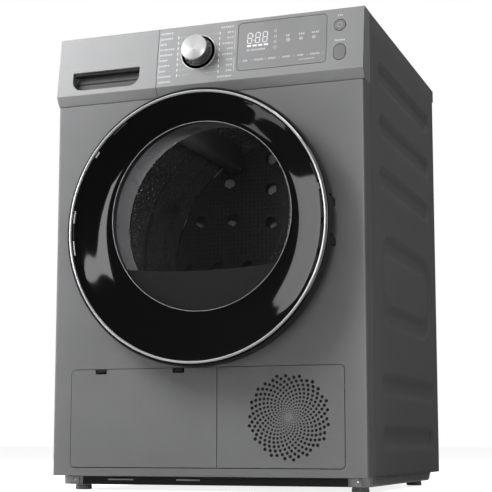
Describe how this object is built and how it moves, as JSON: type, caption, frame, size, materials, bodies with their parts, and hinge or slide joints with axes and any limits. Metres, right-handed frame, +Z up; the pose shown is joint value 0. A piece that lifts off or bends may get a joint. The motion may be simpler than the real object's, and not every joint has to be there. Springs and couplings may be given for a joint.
{
  "type": "clothes dryer",
  "caption": "Free-standing front-loading heat-pump clothes dryer with a round glass door, leaning console, water tank drawer, service flap and ventilation grille.",
  "frame": {"origin": "on the floor, under the middle of the dryer's bounding box", "axes": "+Z up, front towards -Y, +X to the right as seen from the front"},
  "size_m": [0.597, 0.6694, 0.85],
  "materials": {
    "grey_paint": "fine metallic grain, satin",
    "side_paint": "satin",
    "console_plastic": "silver grey, satin metallic",
    "dark_plastic": "fine moulded texture",
    "gloss_black": "high gloss",
    "smoked_pane": "polished, smoked",
    "clear_glass": "polished",
    "chrome": "polished",
    "spun_metal": "spun, satin",
    "drum_steel": "rolled stainless sheet",
    "zinc_sheet": "galvanised",
    "pale_plastic": "moulded, ribbed",
    "white_plastic": "translucent white, moulded",
    "rubber": "matt",
    "cast_metal": "painted, rough",
    "fin_metal": "bare fins",
    "circuit_board": "lacquered board",
    "filter_grey": "moulded"
  },
  "bodies": {
    "cabinet": {"base_tray": "pale_plastic", "corner_bracket_left": "zinc_sheet", "corner_bracket_right": "zinc_sheet", "side_panel_left": "side_paint", "side_panel_right": "side_paint", "front_panel": "grey_paint", "rear_panel": "zinc_sheet", "rear_duct_cover": "zinc_sheet", "top_cover": "grey_paint", "cord_gland": "dark_plastic", "flap_hinge_pin": "zinc_sheet", "grille_panel": "grey_paint", "control_fascia": "console_plastic", "display_window": "console_plastic", "knob_bezel": "chrome", "control_board": "circuit_board", "tank_guide": "dark_plastic", "hinge_plate": "cast_metal", "door_keeper": "dark_plastic", "front_bulkhead": "filter_grey", "door_seal": "rubber", "motor": "cast_metal", "blower_housing": "dark_plastic", "drive_belt": "rubber", "compressor": "cast_metal", "evaporator": "fin_metal", "condenser": "fin_metal", "exchanger_cover": "dark_plastic"},
    "door": {"door_trim_ring": "chrome", "door_bezel": "gloss_black", "door_frame": "dark_plastic", "door_window": "smoked_pane", "door_glass": "clear_glass", "door_baffle": "dark_plastic", "door_hook": "zinc_sheet", "door_hinge_pin": "zinc_sheet"},
    "drum": {"drum_shell": "drum_steel", "drum_lifter_1": "dark_plastic", "drum_lifter_2": "dark_plastic", "drum_lifter_3": "dark_plastic", "drum_back_wall": "drum_steel"},
    "rotor": {"motor_pulley": "zinc_sheet", "blower_fan": "dark_plastic"},
    "roller_left": {"support_roller_left": "rubber"},
    "roller_right": {"support_roller_right": "rubber"},
    "compressor_fan": {"cooling_fan": "dark_plastic"},
    "knob": {"programme_knob": "spun_metal", "knob_shaft": "zinc_sheet"},
    "power_key": {"power_button": "console_plastic"},
    "start_key": {"start_button": "console_plastic"},
    "tank_drawer": {"tank_drawer_front": "console_plastic", "water_tank": "white_plastic"},
    "filter": {"lint_filter": "filter_grey"},
    "flap": {"service_flap": "grey_paint"},
    "catch_left": {"flap_catch_left": "dark_plastic"},
    "catch_right": {"flap_catch_right": "dark_plastic"},
    "foot_front_left_body": {"foot_front_left": "pale_plastic"},
    "foot_front_right_body": {"foot_front_right": "pale_plastic"},
    "foot_rear_left_body": {"foot_rear_left": "pale_plastic"},
    "foot_rear_right_body": {"foot_rear_right": "pale_plastic"}
  },
  "joints": [
    {"name": "door_swing", "type": "hinge", "parent": "cabinet", "child": "door", "pos_m": [0.238, -0.31125, 0.465], "axis": [0, 0, 1], "range_deg": [0, 110]},
    {"name": "drum_spin", "type": "hinge", "parent": "cabinet", "child": "drum", "pos_m": [0, 0.26775, 0.474], "axis": [0, 1, 0], "continuous": true},
    {"name": "rotor_spin", "type": "hinge", "parent": "cabinet", "child": "rotor", "pos_m": [0.205, 0.12275, 0.125], "axis": [0, 1, 0], "continuous": true},
    {"name": "roller_left_spin", "type": "hinge", "parent": "cabinet", "child": "roller_left", "pos_m": [-0.17982, -0.18225, 0.2172], "axis": [0, 1, 0], "continuous": true},
    {"name": "roller_right_spin", "type": "hinge", "parent": "cabinet", "child": "roller_right", "pos_m": [0.17982, -0.18225, 0.2172], "axis": [0, 1, 0], "continuous": true},
    {"name": "compressor_fan_spin", "type": "hinge", "parent": "cabinet", "child": "compressor_fan", "pos_m": [0.1595, -0.25325, 0.129], "axis": [0, 1, 0], "continuous": true},
    {"name": "knob_turn", "type": "hinge", "parent": "cabinet", "child": "knob", "pos_m": [-0.0135, -0.27883, 0.79502], "axis": [0, -0.9906, 0.1366], "continuous": true},
    {"name": "power_press", "type": "slide", "parent": "cabinet", "child": "power_key", "axis": [0, 0.9906, -0.1366], "range_m": [0, 0.0012], "stiffness_N_per_m": 400, "springref_m": -0.001},
    {"name": "start_press", "type": "slide", "parent": "cabinet", "child": "start_key", "axis": [0, 0.9906, -0.1366], "range_m": [0, 0.0012], "stiffness_N_per_m": 400, "springref_m": -0.001},
    {"name": "tank_slide", "type": "slide", "parent": "cabinet", "child": "tank_drawer", "axis": [0, -1, 0], "range_m": [0, 0.4]},
    {"name": "filter_lift", "type": "slide", "parent": "cabinet", "child": "filter", "axis": [0, 0, 1], "range_m": [0, 0.075]},
    {"name": "flap_swing", "type": "hinge", "parent": "cabinet", "child": "flap", "pos_m": [0, -0.27275, 0.0545], "axis": [1, 0, 0], "range_deg": [0, 90]},
    {"name": "catch_left_press", "type": "slide", "parent": "flap", "child": "catch_left", "axis": [0, 0, -1], "range_m": [0, 0.004], "stiffness_N_per_m": 300, "springref_m": -0.002},
    {"name": "catch_right_press", "type": "slide", "parent": "flap", "child": "catch_right", "axis": [0, 0, -1], "range_m": [0, 0.004], "stiffness_N_per_m": 300, "springref_m": -0.002},
    {"name": "foot_front_left_screw", "type": "slide", "parent": "cabinet", "child": "foot_front_left_body", "axis": [0, 0, -1], "range_m": [0, 0.012]},
    {"name": "foot_front_right_screw", "type": "slide", "parent": "cabinet", "child": "foot_front_right_body", "axis": [0, 0, -1], "range_m": [0, 0.012]},
    {"name": "foot_rear_left_screw", "type": "slide", "parent": "cabinet", "child": "foot_rear_left_body", "axis": [0, 0, -1], "range_m": [0, 0.012]},
    {"name": "foot_rear_right_screw", "type": "slide", "parent": "cabinet", "child": "foot_rear_right_body", "axis": [0, 0, -1], "range_m": [0, 0.012]}
  ],
  "couplings": [
    {"joint": "rotor_spin", "follows": "drum_spin", "ratio": 23.583},
    {"joint": "roller_left_spin", "follows": "drum_spin", "ratio": -9.4333},
    {"joint": "roller_right_spin", "follows": "drum_spin", "ratio": -9.4333}
  ]
}
